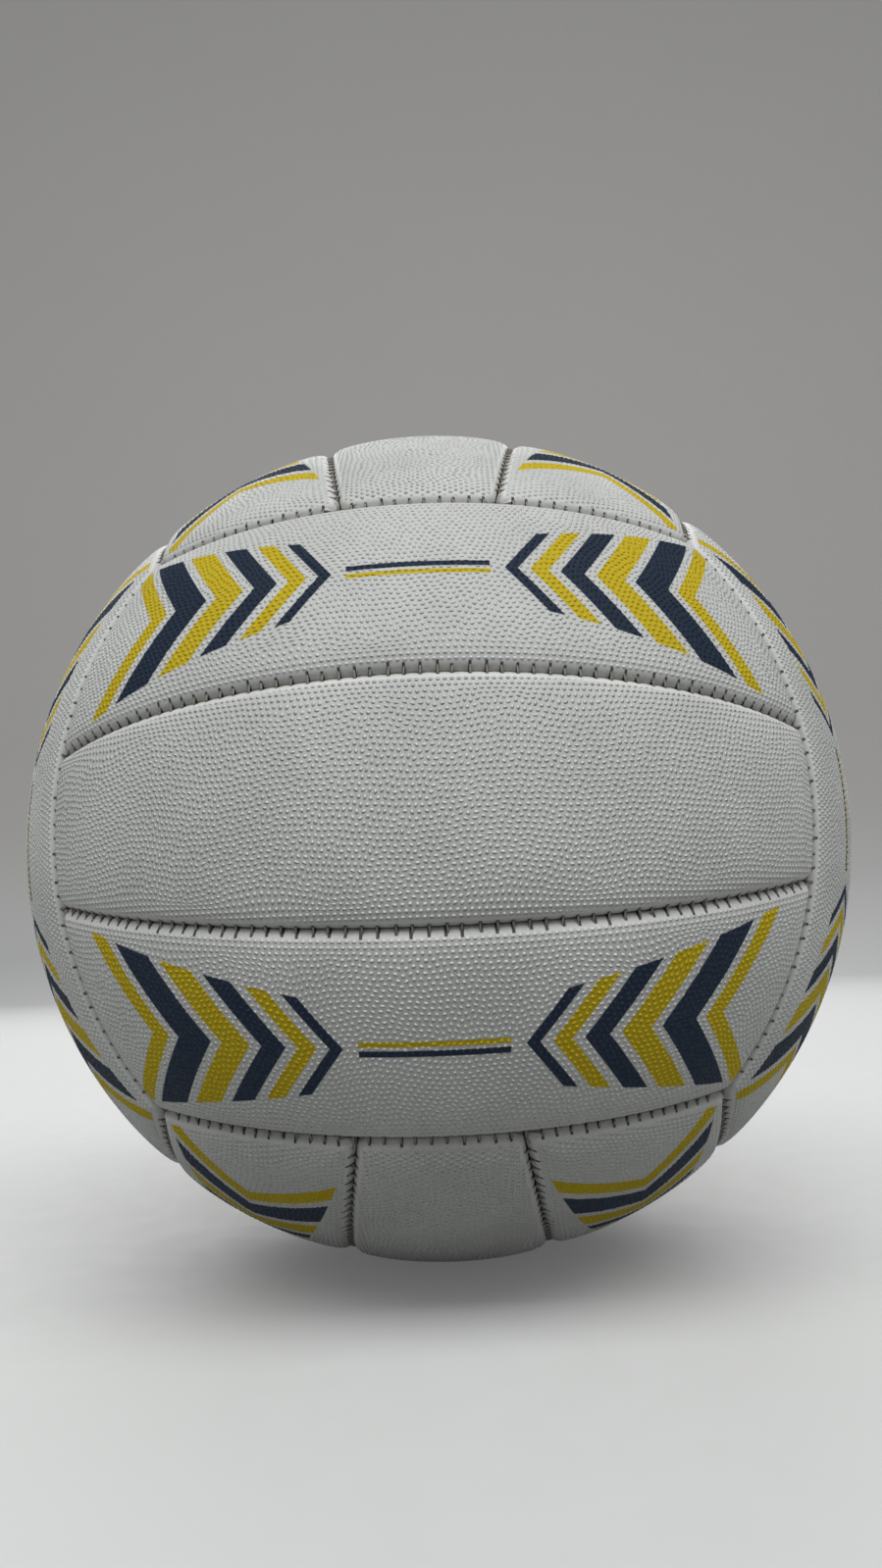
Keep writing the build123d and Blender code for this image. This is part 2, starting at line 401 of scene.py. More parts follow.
class PanelSurface:
    """The outside of one panel as a function of latitude and turn.

    A point stands at the ball's radius, less the fold of the turned edge, the fall-off towards the
    seams and the pucker at each stitch, plus the height of its pimple.
    """

    # Slope outside the outline, and the rim of the grid that follows the seams
    WALL_SLOPE = 6.0
    RIM_WIDTH = 0.0028
    EDGE_MARGIN = 0.0003
    FOLD_STEPS = 9
    SETTLING_ROUNDS = 6
    # Distances inside the outline where pimples begin and are whole, and over which rows come to stray
    GRAIN_START = 0.0014
    GRAIN_WHOLE = 0.0024
    STRAY_REACH = 0.005
    # Way from a seam over which the pucker dies down, in millimetres, and its run past the last stitch,
    # in stitch pitches
    PUCKER_REACH = 1.2
    SEAM_OVERRUN = 0.4

    def __init__(self, shape, strip, seed):
        self.shape, self.strip, self.seed = shape, strip, seed
        self.long_seams = strip.seams()
        self.end_seams = (strip.plan.end_seam(-1), strip.plan.end_seam(1))
        self.middle_flat = math.cos(strip.middle)
        self.edge_distances = np.linspace(0, self.RIM_WIDTH, self.FOLD_STEPS + 1)
        self.limit = self.RIM_WIDTH + self.EDGE_MARGIN

    def grid(self):
        """Latitudes and turns of a grid whose inside fits the pimples and whose rim follows the seams.

        Rows and columns stand at half a pimple row and half a pitch. Past the rim's inner limit they
        are held at that limit, so that they fall together, and the rim has one row or column for each
        step of the fold. A few rounds settle latitudes and turns that depend on each other.
        """
        radius = self.shape.ball_radius
        row_step = self.shape.pimple_pitch * math.sqrt(3) / 4 / radius
        column_step = self.shape.pimple_pitch / 2 / (radius * self.middle_flat)
        low, high = np.concatenate(self.strip.edges(np.zeros(1))[:2])
        half_rows = math.ceil((high - low) / 2 / row_step)
        end = self.strip.end(np.array((low, high)))[0]
        half_columns = math.ceil(end.max() / column_step)
        rows = self.strip.middle + row_step * np.arange(-half_rows, half_rows + 1)
        columns = column_step * np.arange(-half_columns, half_columns + 1)
        rim = self.edge_distances
        row_side = np.repeat((-1, 0, 1), (len(rim), len(rows), len(rim)))[:, None]
        row_value = np.concatenate((rim, rows, rim[::-1]))[:, None]
        column_side = np.repeat((-1, 0, 1), (len(rim), len(columns), len(rim)))[None, :]
        column_value = np.concatenate((rim, columns, rim[::-1]))[None, :]

        half_gap = self.shape.seam_gap / 2
        turn = np.where(column_side == 0, column_value, column_side * columns[-1])
        turn = np.broadcast_to(turn, (len(row_value), column_value.shape[1])).copy()
        for settling in range(self.SETTLING_ROUNDS):
            low, high, rate = self.strip.edges(turn)
            inset = (half_gap + self.limit) / radius / rate
            rim_inset = (half_gap + row_value) / radius / rate
            latitude = np.clip(row_value, low + inset, high - inset)
            latitude = np.where(row_side < 0, low + rim_inset, latitude)
            latitude = np.where(row_side > 0, high - rim_inset, latitude)
            end, rate = self.strip.end(latitude)
            inset = (half_gap + self.limit) / radius / rate
            rim_inset = (half_gap + column_value) / radius / rate
            turn = np.clip(column_value, inset - end, end - inset)
            turn = np.where(column_side != 0, column_side * (end - rim_inset), turn)
        return latitude, turn

    def edge_distance(self, point):
        """Distance inside the panel's outline, whose corners are rounded by the corner radius.

        A middle panel's outline lies past its inner seams by the tuck, which cuts its fold short there.
        """
        corner = self.shape.corner_radius
        ways = [seam.distance(point) + self.strip.tuck for seam in self.long_seams]
        ways = np.stack(ways + [seam.distance(point) for seam in self.end_seams], axis=-1)
        short = np.clip(corner - ways, 0, None)
        rounded = corner - np.linalg.norm(short, axis=-1)
        return np.where(short.max(axis=-1) > 0, rounded, ways.min(axis=-1))

    def fold(self, distance):
        """Depth of the turned edge, and of a steep slope outside it."""
        inside, outside = np.clip(distance, 0, None), np.clip(-distance, 0, None)
        return fold_depth(self.shape, inside) + self.WALL_SLOPE * outside

    def nearest_seam(self, point, seams):
        """Phase, distance and the stitches' reach in millimetres on the nearer of two seams."""
        ways = np.stack([seam.distance(point) for seam in seams], axis=-1)
        phases = np.stack([seam.phase(point) for seam in seams], axis=-1)
        nearer = ways.argmin(axis=-1)[..., None]
        way = np.take_along_axis(ways, nearer, axis=-1)[..., 0]
        phase = np.take_along_axis(phases, nearer, axis=-1)[..., 0]
        gaps = np.array([seam.gaps for seam in seams])[nearer[..., 0]]
        reach = np.array([seam.panel_reach() for seam in seams])[nearer[..., 0]]
        sewn = (phase > -self.SEAM_OVERRUN) & (phase < gaps + self.SEAM_OVERRUN)
        reach = np.where(sewn, reach, 0)
        return np.stack((phase, way * PER_MILLIMETRE, reach * PER_MILLIMETRE), axis=-1)

    def pull(self, seam):
        """Share of a stitch's pull on the edge: a cosine along the seam that dies down off it."""
        phase, way, reach = np.moveaxis(seam, -1, 0)
        wave = 0.5 + 0.5 * np.cos(2 * math.pi * phase)
        return (reach > 0) * wave * np.exp(-np.abs(way) / self.PUCKER_REACH)

    def pimples(self, grain):
        """Height from 0 to 1 of a lattice of round pimples: three cosines sixty degrees apart."""
        x, y = grain[..., 0], grain[..., 1]
        slant = y / math.sqrt(3)
        waves = [np.cos(2 * math.pi * turns) for turns in (2 * slant, slant + x, slant - x)]
        return (sum(waves) + LATTICE_LIFT) / LATTICE_SPAN

    def place(self, latitude, turn, bare=0.0, drop=0.0):
        """Points and attributes of the outside at latitudes and turns.

        bare is the share by which the pimples are left off, and drop an extra depth.
        """
        shape = self.shape
        x = turn * shape.ball_radius * self.middle_flat
        y = (latitude - self.strip.middle) * shape.ball_radius
        distance = self.edge_distance(self.strip.point(latitude, turn))
        free = smooth_step(distance, self.limit, self.limit + self.STRAY_REACH)
        rows = shape.pimple_wander * swirl(x, y, ROW_WAVES, self.seed)
        pimples = shape.pimple_ruffle * swirl(x, y, PIMPLE_WAVES, self.seed + 1)
        east, north = free * (1 - bare) * (rows + pimples)
        point = self.strip.point(
            latitude + north / shape.ball_radius, turn + east / (shape.ball_radius * self.middle_flat)
        )
        distance = self.edge_distance(point)
        fade = smooth_step(distance, self.GRAIN_START, self.GRAIN_WHOLE) * (1 - bare)
        grain = np.stack((x / shape.pimple_pitch, y / shape.pimple_pitch, fade), axis=-1)
        long_seam = self.nearest_seam(point, self.long_seams)
        end_seam = self.nearest_seam(point, self.end_seams)
        pucker = np.maximum(self.pull(long_seam), self.pull(end_seam))
        crown = np.exp(-np.clip(distance, 0, None) / shape.crown_reach)
        depth = self.fold(distance) + shape.crown_drop * crown
        depth = depth + shape.pucker * pucker + drop
        height = shape.pimple_height * fade * self.pimples(grain)
        points = point * (shape.ball_radius - depth + height)[..., None]
        across = np.stack((x + east, y + north, distance), axis=-1) * PER_MILLIMETRE
        return points, {"place": across, "grain": grain, "long_seam": long_seam, "end_seam": end_seam}


class Patchwork:
    """Points, attributes and faces of one mesh, gathered patch by patch."""

    def __init__(self):
        self.points, self.attributes, self.quads, self.count = [], {}, [], 0

    def add(self, points, attributes):
        """Adds an array of points and returns their numbers in the same arrangement."""
        numbers = self.count + np.arange(points[..., 0].size).reshape(points.shape[:-1])
        self.count += numbers.size
        self.points.append(points.reshape(-1, 3))
        for name, values in attributes.items():
            self.attributes.setdefault(name, []).append(values.reshape(-1, 3))
        return numbers

    def skin(self, numbers, keep=None):
        """Adds the faces between neighbouring rows and columns of numbers."""
        corners = (numbers[:-1, :-1], numbers[:-1, 1:], numbers[1:, 1:], numbers[1:, :-1])
        quads = np.stack(corners, axis=-1)
        self.quads.append(quads[keep] if keep is not None else quads.reshape(-1, 4))

    def rings(self, numbers):
        """Adds the faces between closed rings, one ring in each row of numbers."""
        self.skin(np.concatenate((numbers, numbers[:, :1]), axis=1)[:, ::-1])

    def mesh(self, name, turn=None):
        """Merges points that coincide, drops faces with no area and makes the mesh."""
        points = np.concatenate(self.points)
        keys = np.round(points / WELD_DISTANCE).astype(np.int64)
        first, merged = np.unique(keys, axis=0, return_index=True, return_inverse=True)[1:]
        quads = merged.reshape(-1)[np.concatenate(self.quads)]
        same = quads == np.roll(quads, -1, axis=1)
        crossed = (quads[:, 0] == quads[:, 2]) | (quads[:, 1] == quads[:, 3])
        whole = quads[~same.any(axis=1) & ~crossed]
        pinched = (same.sum(axis=1) == 1) & ~crossed
        triangles = quads[pinched][~same[pinched]].reshape(-1, 3)
        points = points[first]
        if turn is not None:
            points = points @ turn.T
        mesh = bpy.data.meshes.new(name)
        mesh.from_pydata(points, [], whole.tolist() + triangles.tolist())
        for label, values in self.attributes.items():
            layer = mesh.attributes.new(label, "FLOAT_VECTOR", "POINT")
            layer.data.foreach_set("vector", np.concatenate(values)[first].astype(np.float32).ravel())
        mesh.polygons.foreach_set("use_smooth", np.ones(len(mesh.polygons), bool))
        mesh.update()
        return mesh


# The back of a panel, in sheet thicknesses: the depth where the turned edge bends to it, and how far in
# the last ring and the middle line's ends lie
BEND_DEPTH = 1.6
BACK_INSET = 2.0
SPINE_INSET = 4.0
# Shares of the way to the middle line at which the back's rings close, and the half length of its pit
CLOSING_SHARES = (0.5, 0.1, 0.0)
PIT_REACH = 0.0024


def outline(numbers):
    """Numbers round the rim of a grid, anticlockwise from its first corner."""
    return np.concatenate((numbers[0, :-1], numbers[:-1, -1], numbers[-1, :0:-1], numbers[:0:-1, 0]))


def turned_edge(patchwork, surface, numbers, latitude, turn, pit):
    """Carries a panel's rim down its wall, round the turned edge and across the back of its sheet.

    The rim's ring is repeated at a list of depths and insets, and the last rings close on the middle
    line of the strip, which sinks into a pit at the panel's centre.
    """
    shape, strip = surface.shape, surface.strip
    ring = outline(numbers)
    rim_latitude, rim_turn = outline(latitude), outline(turn)
    upward = np.where(rim_latitude < strip.middle, 1.0, -1.0)
    on_long_edge = np.zeros(numbers.shape, bool)
    on_long_edge[[0, -1], :] = True
    on_end = np.zeros(numbers.shape, bool)
    on_end[:, [0, -1]] = True
    upward = upward * outline(on_long_edge)
    inward = -np.sign(rim_turn) * outline(on_end)
    back = shape.cover_thickness
    deep = shape.edge_depth
    wall = ((deep, 0.0), (deep, back), (BEND_DEPTH * back, back), (back, BACK_INSET * back))
    rings = [ring]
    for depth, inset in wall:
        ring_latitude = rim_latitude + upward * inset / shape.ball_radius
        ring_turn = rim_turn + inward * inset / shape.ball_radius
        rings.append(back_ring(patchwork, surface, ring_latitude, ring_turn, depth))
    spine_end = strip.end(rim_latitude)[0].min() - SPINE_INSET * back / shape.ball_radius
    spine = np.clip(turn[len(turn) // 2], -spine_end, spine_end)
    spine = outline(np.broadcast_to(spine, turn.shape))
    pit_depth = np.where(np.abs(spine) * shape.ball_radius < PIT_REACH, pit, back)
    for share, depth in zip(CLOSING_SHARES, (back, back, pit_depth)):
        closing_latitude = strip.middle + share * (ring_latitude - strip.middle)
        closing_turn = spine + share * (ring_turn - spine)
        rings.append(back_ring(patchwork, surface, closing_latitude, closing_turn, depth))
    patchwork.rings(np.stack(rings))


def back_ring(patchwork, surface, latitude, turn, depth):
    """A ring of points at a depth, or at a depth for each, under the panel's outside."""
    radius = surface.shape.ball_radius - np.broadcast_to(depth, latitude.shape)
    points, attributes = surface.place(latitude, turn, bare=1.0)
    return patchwork.add(unit(points) * radius[..., None], attributes)


# The collar round the valve's hole: radius of its dish, half the side of the square that its rings fill,
# radius where the pimples are whole, depth of the dish, roundness of the lip, and depth of the hole
COLLAR_OUTER = 0.0072
COLLAR_SQUARE = 0.0092
COLLAR_PEBBLED = 0.0115
COLLAR_DISH = 0.0003
COLLAR_LIP = 0.0004
COLLAR_WALL = 0.0026
DISH_RINGS = 7
LIP_RINGS = 4
# The shaft behind the valve's bore
BORE_RADIUS = 0.0014
BORE_DEPTH = 0.008


def valve_collar(patchwork, surface, numbers, latitude, turn):
    """Cuts a square out of a middle panel's grid and fills it with rings round the valve's hole.

    The rings run from the square to a circle, dip in a shallow dish, round a lip, go down the hole, pass
    under the valve and close as a shaft behind its bore. Returns which faces of the grid are kept.
    """
    shape = surface.shape
    x, y = turn * shape.ball_radius, latitude * shape.ball_radius
    inside = (np.abs(x) < COLLAR_SQUARE) & (np.abs(y) < COLLAR_SQUARE)
    rows, columns = np.nonzero(inside.any(axis=1))[0], np.nonzero(inside.any(axis=0))[0]
    square = (slice(rows[0], rows[-1] + 1), slice(columns[0], columns[-1] + 1))
    keep = np.ones((numbers.shape[0] - 1, numbers.shape[1] - 1), bool)
    keep[rows[0]:rows[-1], columns[0]:columns[-1]] = False
    ring_x, ring_y = outline(x[square]), outline(y[square])
    heading = np.arctan2(ring_y, ring_x)

    lip = np.linspace(0, math.pi / 2, LIP_RINGS + 1)[1:]
    lip_start = shape.valve_hole + COLLAR_LIP
    dish_radius = np.linspace(COLLAR_OUTER, lip_start, DISH_RINGS)
    dish_depth = COLLAR_DISH * smooth_step(-dish_radius, -COLLAR_OUTER, -lip_start)
    lip_radius = shape.valve_hole + COLLAR_LIP * (1 - np.sin(lip))
    lip_depth = COLLAR_DISH + COLLAR_LIP * (1 - np.cos(lip))
    shaft_radius = (shape.valve_hole, BORE_RADIUS, BORE_RADIUS, 0.0)
    shaft_depth = (COLLAR_WALL, COLLAR_WALL, BORE_DEPTH, BORE_DEPTH)
    radii = np.concatenate((dish_radius, lip_radius, shaft_radius))[:, None]
    depths = np.concatenate((dish_depth, lip_depth, shaft_depth))[:, None]
    rings_x, rings_y = radii * np.cos(heading), radii * np.sin(heading)
    points, attributes = surface.place(
        rings_y / shape.ball_radius,
        rings_x / shape.ball_radius,
        np.ones_like(rings_x),
        depths * np.ones_like(rings_x),
    )
    rings = patchwork.add(points, attributes)
    patchwork.rings(np.concatenate((outline(numbers[square])[None], rings))[:, ::-1])
    return keep


def panel_mesh(shape, strip, name, turn, seed):
    """One panel: the pebbled outside, its turned edges and the back of its sheet."""
    surface = PanelSurface(shape, strip, seed)
    patchwork = Patchwork()
    latitude, along = surface.grid()
    has_valve = name == VALVE_PANEL
    bare = 0.0
    if has_valve:
        from_valve = np.hypot(along, latitude) * shape.ball_radius
        bare = 1 - smooth_step(from_valve, COLLAR_OUTER, COLLAR_PEBBLED)
    points, attributes = surface.place(latitude, along, bare)
    numbers = patchwork.add(points, attributes)
    keep = valve_collar(patchwork, surface, numbers, latitude, along) if has_valve else None
    patchwork.skin(numbers, keep)
    pit = shape.cover_thickness + (BORE_DEPTH if has_valve else 0.0)
    turned_edge(patchwork, surface, numbers, latitude, along, pit)
    return patchwork.mesh(name, turn)


def group_turn(outward, along, half_turned=False):
    """Matrix from a group's own frame to the ball's, for a strip that may be turned half round."""
    outward, along = np.array(outward, float), np.array(along, float)
    if half_turned:
        along = -along
    return np.stack((along, np.cross(outward, along), outward), axis=-1)


# Depths of a stitch: the deepest that it sags in the groove, how far it sinks in the edges, and how far its
# ends dive, as a power of the way to them
STITCH_SAG = 0.0016
STITCH_SINK = 0.00014
STITCH_DIVE = 0.0005
DIVE_POWER = 8
# Spread of the stitches' turn off square, of their place along the seam, and range of their thickness
STITCH_SWING = 0.09
STITCH_SHIFT = 0.00003
THREAD_RANGE = (0.88, 1.12)
# Rings along a stitch as shares of its reach, their swell as shares of the thread's radius, and the
# thread's sides
STITCH_STEPS = np.array((-1.0, -1.0, -0.82, -0.45, 0.0, 0.45, 0.82, 1.0, 1.0))
STITCH_SWELL = np.array((0.0, 0.55, 1.0, 1.05, 1.05, 1.05, 1.0, 0.55, 0.0))
THREAD_SIDES = 6


def stitch_mesh(shape, plan, name, turn, seed):
    """Stitches of one group: short bent threads across its inner seams and its long borders.

    Each is a round section carried along a path that comes out of one folded edge, sags into the
    groove and goes into the other edge. Its ends are drawn to a point inside the edges.
    """
    draw = np.random.default_rng(seed)
    frames = [
        seam.stitch_frames()
        for way in (1, -1)
        for seam in (plan.inner_seam(way, 1), plan.border_seam(way, 1))
    ]
    outward, along, across, reaches = (np.concatenate(part) for part in zip(*frames))
    count = len(outward)
    swing = draw.normal(0, STITCH_SWING, count)[:, None]
    along, across = (
        np.cos(swing) * along + np.sin(swing) * across,
        np.cos(swing) * across - np.sin(swing) * along,
    )
    shift = draw.normal(0, STITCH_SHIFT, count)
    thickness = shape.thread_radius * draw.uniform(*THREAD_RANGE, count)

    reach = STITCH_STEPS * np.where(STITCH_STEPS < 0, reaches[:, :1], reaches[:, 1:])
    way = np.clip(np.abs(reach) - shape.seam_gap / 2, 0, None)
    on_fold = fold_depth(shape, way) + shape.crown_drop * np.exp(-way / shape.crown_reach) + shape.pucker
    dive = STITCH_DIVE * np.abs(STITCH_STEPS) ** DIVE_POWER
    depth = np.minimum(on_fold + STITCH_SINK, STITCH_SAG) + dive
    sides = np.linspace(0, 2 * math.pi, THREAD_SIDES + 1)[:-1]
    girth = (thickness[:, None] * STITCH_SWELL)[..., None]
    ring_along, ring_out = girth * np.cos(sides), girth * np.sin(sides)
    points = (
        outward[:, None, None, :] * (shape.ball_radius - depth[:, :, None] + ring_out)[..., None]
        + across[:, None, None, :] * reach[:, :, None, None]
        + along[:, None, None, :] * (shift[:, None, None] + ring_along)[..., None]
    )
    around = sides / (2 * math.pi)
    ply = np.broadcast_arrays(reach[:, :, None] * PER_MILLIMETRE, around, shift[:, None, None])
    patchwork = Patchwork()
    numbers = patchwork.add(points, {"ply": np.stack(ply, axis=-1)})
    closed = np.concatenate((numbers, numbers[:, :, :1]), axis=2)
    corners = (closed[:, :-1, :-1], closed[:, 1:, :-1], closed[:, 1:, 1:], closed[:, :-1, 1:])
    patchwork.quads.append(np.stack(corners, axis=-1).reshape(-1, 4))
    return patchwork.mesh(name, turn)


class NodeTree:
    """Short calls that add nodes to one node tree and link them."""

    def __init__(self, tree):
        self.tree = tree

    def put(self, socket, value):
        """Links a socket to another one, or sets its value."""
        if isinstance(value, bpy.types.NodeSocket):
            self.tree.links.new(value, socket)
        elif hasattr(value, "__len__") and len(value) == 3 and socket.type == "RGBA":
            socket.default_value = (*value, 1.0)
        else:
            socket.default_value = value

    def node(self, kind, **settings):
        """A node of one kind, with its settings."""
        made = self.tree.nodes.new(kind)
        for name, value in settings.items():
            setattr(made, name, value)
        return made

    def math(self, operation, *values):
        """Result of a Math node."""
        made = self.node("ShaderNodeMath", operation=operation)
        for socket, value in zip(made.inputs, values):
            self.put(socket, value)
        return made.outputs[0]

    def times(self, first, second):
        """Product of two values."""
        return self.math("MULTIPLY", first, second)

    def most(self, first, second):
        """The greater of two values."""
        return self.math("MAXIMUM", first, second)

    def step(self, value, low, high, start=0.0, stop=1.0, curve="SMOOTHSTEP"):
        """A step from start to stop as value goes from low to high, smooth or straight."""
        made = self.node("ShaderNodeMapRange", interpolation_type=curve)
        names = ("Value", "From Min", "From Max", "To Min", "To Max")
        for name, setting in zip(names, (value, low, high, start, stop)):
            self.put(made.inputs[name], setting)
        return made.outputs["Result"]

    def between(self, value, low, high, blur):
        """A mask that is 1 from low to high, with blurred ends."""
        rise = self.step(value, low - blur, low + blur)
        return self.times(rise, self.step(value, high - blur, high + blur, 1.0, 0.0))

    def mix(self, share, first, second, blend="MIX"):
        """Colour between first and second, by the numbers of a Mix node's colour sockets."""
        made = self.node("ShaderNodeMix", data_type="RGBA", blend_type=blend)
        for index, value in ((0, share), (6, first), (7, second)):
            self.put(made.inputs[index], value)
        return made.outputs[2]

    def split(self, vector):
        """X, Y and Z of a vector."""
        made = self.node("ShaderNodeSeparateXYZ")
        self.put(made.inputs[0], vector)
        return made.outputs

    def attribute(self, name):
        """X, Y and Z of one of the piece's attributes, and the attribute itself."""
        made = self.node("ShaderNodeAttribute", attribute_name=name)
        return (*self.split(made.outputs["Vector"]), made.outputs["Vector"])

    def noise(self, vector, scale, detail, roughness):
        """Value of a noise texture."""
        made = self.node("ShaderNodeTexNoise")
        names = ("Vector", "Scale", "Detail", "Roughness")
        for name, value in zip(names, (vector, scale, detail, roughness)):
            self.put(made.inputs[name], value)
        return made.outputs["Fac"]

    def object_place(self):
        """Object coordinates."""
        return self.node("ShaderNodeTexCoord").outputs["Object"]

    def group(self, tree, **inputs):
        """Places a node group and returns its outputs."""
        made = self.node("ShaderNodeGroup", node_tree=tree)
        for name, value in inputs.items():
            self.put(made.inputs[name], value)
        return made.outputs


def node_group(name, inputs, outputs):
    """An empty node group with named sockets: its calls, its input sockets and its output node."""
    tree = bpy.data.node_groups.new(name, "ShaderNodeTree")
    for way, sockets in (("INPUT", inputs), ("OUTPUT", outputs)):
        for label, kind in sockets.items():
            tree.interface.new_socket(name=label, in_out=way, socket_type=kind)
    nodes = NodeTree(tree)
    return nodes, nodes.node("NodeGroupInput").outputs, nodes.node("NodeGroupOutput")


FLOAT, VECTOR = "NodeSocketFloat", "NodeSocketVector"


# Pimples in the cover's material: share of the lattice's height where a dome starts, the noise that makes
# them uneven as its scale, detail and roughness, the band of its values, and the range of their heights
DOME_START = 0.34
PIMPLE_NOISE = (0.8, 1.0, 0.5)
PIMPLE_BAND = (0.25, 0.75)
PIMPLE_RANGE = (0.65, 1.15)


def pebble_group():
    """Pimples on a lattice of three cosines, each a little higher or lower than the next."""
    nodes, given, out = node_group("pebble_grain", {"Grain": VECTOR}, {"Height": FLOAT})
    x, y = nodes.split(given["Grain"])[:2]
    slant = nodes.math("DIVIDE", y, math.sqrt(3))
    total = LATTICE_LIFT
    for turns in (nodes.times(slant, 2.0), nodes.math("ADD", slant, x), nodes.math("SUBTRACT", slant, x)):
        wave = nodes.math("COSINE", nodes.times(turns, 2 * math.pi))
        total = nodes.math("ADD", wave, total)
    dome = nodes.step(nodes.math("DIVIDE", total, LATTICE_SPAN), DOME_START, 1.0, curve="LINEAR")
    uneven = nodes.step(nodes.noise(given["Grain"], *PIMPLE_NOISE), *PIMPLE_BAND, *PIMPLE_RANGE)
    nodes.put(out.inputs["Height"], nodes.times(dome, uneven))
    return nodes.tree


# Half a slit's width and where its blurred edge ends, in stitch pitches, and its taper in millimetres
SLIT_EDGE = (0.065, 0.11)
SLIT_TAPER = 0.3


def stitch_mark_group():
    """Mask of the slits where the stitches go into a folded edge."""
    nodes, given, out = node_group("stitch_marks", {"Seam": VECTOR}, {"Mask": FLOAT})
    phase, way, reach = nodes.split(given["Seam"])
    number = nodes.math("ROUND", phase)
    uneven = nodes.math("SINE", nodes.times(nodes.times(number, number), UNEVEN_RATE))
    centre = nodes.math("MULTIPLY_ADD", uneven, UNEVEN_SHIFT, number)
    off = nodes.math("ABSOLUTE", nodes.math("SUBTRACT", phase, centre))
    slit = nodes.step(off, *SLIT_EDGE, 1.0, 0.0)
    long = nodes.times(nodes.math("MULTIPLY_ADD", uneven, UNEVEN_REACH, 1.0), reach)
    near = nodes.step(way, nodes.math("SUBTRACT", long, SLIT_TAPER), long, 1.0, 0.0)
    sewn = nodes.math("GREATER_THAN", reach, 0.0)
    nodes.put(out.inputs["Mask"], nodes.times(nodes.times(slit, near), sewn))
    return nodes.tree


# Noise of the mottle: detail and roughness of the clouds and the specks, how much finer the specks are,
# and the band of values that is stretched from 0 to 1
CLOUD_NOISE = (4.0, 0.6)
SPECK_NOISE = (2.0, 0.6)
SPECK_FINENESS = 18.0
MOTTLE_BAND = (0.3, 0.7)


def mottle_group():
    """Cloudy patches and fine specks, from 0 to 1."""
    inputs, outputs = {"Place": VECTOR, "Scale": FLOAT}, {"Clouds": FLOAT, "Specks": FLOAT}
    nodes, given, out = node_group("mottle", inputs, outputs)
    clouds = nodes.noise(given["Place"], given["Scale"], *CLOUD_NOISE)
    specks = nodes.noise(given["Place"], nodes.times(given["Scale"], SPECK_FINENESS), *SPECK_NOISE)
    nodes.put(out.inputs["Clouds"], nodes.step(clouds, *MOTTLE_BAND))
    nodes.put(out.inputs["Specks"], nodes.step(specks, *MOTTLE_BAND))
    return nodes.tree


# Print on the outer panels, in millimetres: bars on both sides of a panel's middle, as their start at
# the middle line, their width and whether they are dark, and pinstripes as their sides and whether they
# are dark. Slant and widening are shares of the way off the middle line and along it
PRINT_BARS = (
    (18.0, 2.8, True),
    (23.4, 4.0, False),
    (30.0, 5.4, True),
    (38.0, 6.8, False),
    (47.4, 8.6, True),
    (58.6, 5.0, False),
)
PRINT_INNER_HALF_HEIGHT = 6.0
PRINT_WIDENING = 0.19
PRINT_SLANT = 0.75
PRINT_BLUR = 0.15
PINSTRIPES = ((0.4, 1.8, True), (-1.6, -0.4, False))
PINSTRIPE_END = 15.0


def chevron_group():
    """Chevrons that point to a panel's middle from both sides, and two pinstripes between them.

    A bar covers a range of the distance from the panel's middle, less a share of the way off its
    middle line. The bars are taller towards the panel's ends.
    """
    nodes, given, out = node_group(
        "chevron_print",
        {"Along": FLOAT, "Across": FLOAT, "Inside": FLOAT},
        {"Dark": FLOAT, "Bright": FLOAT},
    )
    from_middle = nodes.math("ABSOLUTE", given["Along"])
    off_line = nodes.math("ABSOLUTE", given["Across"])
    lead = nodes.math("SUBTRACT", from_middle, nodes.times(off_line, PRINT_SLANT))
    top = nodes.math("MULTIPLY_ADD", from_middle, PRINT_WIDENING, PRINT_INNER_HALF_HEIGHT)
    below_top = nodes.math("SUBTRACT", top, off_line)
    tall = nodes.step(below_top, -PRINT_BLUR, PRINT_BLUR)
    masks = {True: 0.0, False: 0.0}
    for start, width, is_dark in PRINT_BARS:
        bar = nodes.times(nodes.between(lead, start, start + width, PRINT_BLUR), tall)
        masks[is_dark] = nodes.most(bar, masks[is_dark])
    middle = nodes.step(from_middle, PINSTRIPE_END - PRINT_BLUR, PINSTRIPE_END + PRINT_BLUR, 1.0, 0.0)
    for low, high, is_dark in PINSTRIPES:
        line = nodes.times(nodes.between(given["Across"], low, high, PRINT_BLUR), middle)
        masks[is_dark] = nodes.most(line, masks[is_dark])
    for label, is_dark in (("Dark", True), ("Bright", False)):
        nodes.put(out.inputs[label], nodes.times(masks[is_dark], given["Inside"]))
    return nodes.tree


def new_material(name):
    """A material, the calls for its nodes and its Principled shader."""
    material = bpy.data.materials.new(name)
    material.use_nodes = True
    return material, NodeTree(material.node_tree), material.node_tree.nodes["Principled BSDF"]


def bump(nodes, shader, height):
    """Feeds a height in millimetres to the shader's normal."""
    made = nodes.node("ShaderNodeBump")
    made.inputs["Strength"].default_value = 1.0
    made.inputs["Distance"].default_value = 1 / PER_MILLIMETRE
    nodes.put(made.inputs["Height"], height)
    nodes.put(shader.inputs["Normal"], made.outputs["Normal"])


def shade(tint, share):
    """A colour times a share."""
    return tuple(channel * share for channel in tint)


# Looks of the cover: tones as shares of its colour, roughness, and the shine that the pimples' tops gain
COVER_CLOUD_SCALE = 38.0
COVER_TONES = (0.94, 1.04)
COVER_ROUGHNESS = (0.46, 0.56)
COVER_SPECULAR = 0.25
PIMPLE_POLISH = 0.2
# Where the print begins inside the outline, in millimetres, and the roughness that it adds
PRINT_START = (2.2, 2.7)
PRINT_ROUGHNESS = 0.22
# Painted shade, with a little dirt, between pimples: its share, the height of pimple where it ends, and what
# it multiplies the colour by
VALLEY_SHARE = 0.3
VALLEY_TOP = 0.5
VALLEY_SHADE = (0.45, 0.43, 0.4)
